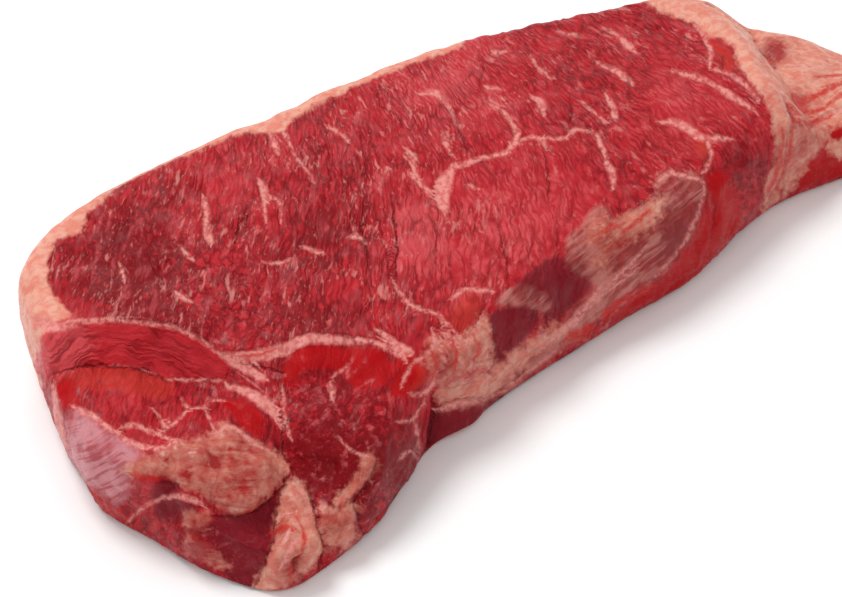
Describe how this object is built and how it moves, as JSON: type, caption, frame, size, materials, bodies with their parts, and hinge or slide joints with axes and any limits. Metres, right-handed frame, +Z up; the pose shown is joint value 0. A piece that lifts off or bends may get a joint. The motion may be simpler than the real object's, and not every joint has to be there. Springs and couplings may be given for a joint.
{
  "type": "raw sirloin steak",
  "caption": "Thick-cut raw sirloin steak lying flat: a broad marbled eye with a fat cap, two smaller muscles sloping off a crest at one end, a fatty tail at the other.",
  "frame": {"origin": "middle of the base, on the surface that the steak lies on", "axes": "+Z up through the thickness, +X along the steak from the chine end to the tail, +Y from the bone side to the fat cap"},
  "size_m": [0.26, 0.122, 0.032],
  "materials": {
    "meat": "moist raw meat with fat"
  },
  "bodies": {
    "root": {"sirloin_steak": "meat"}
  },
  "joints": []
}
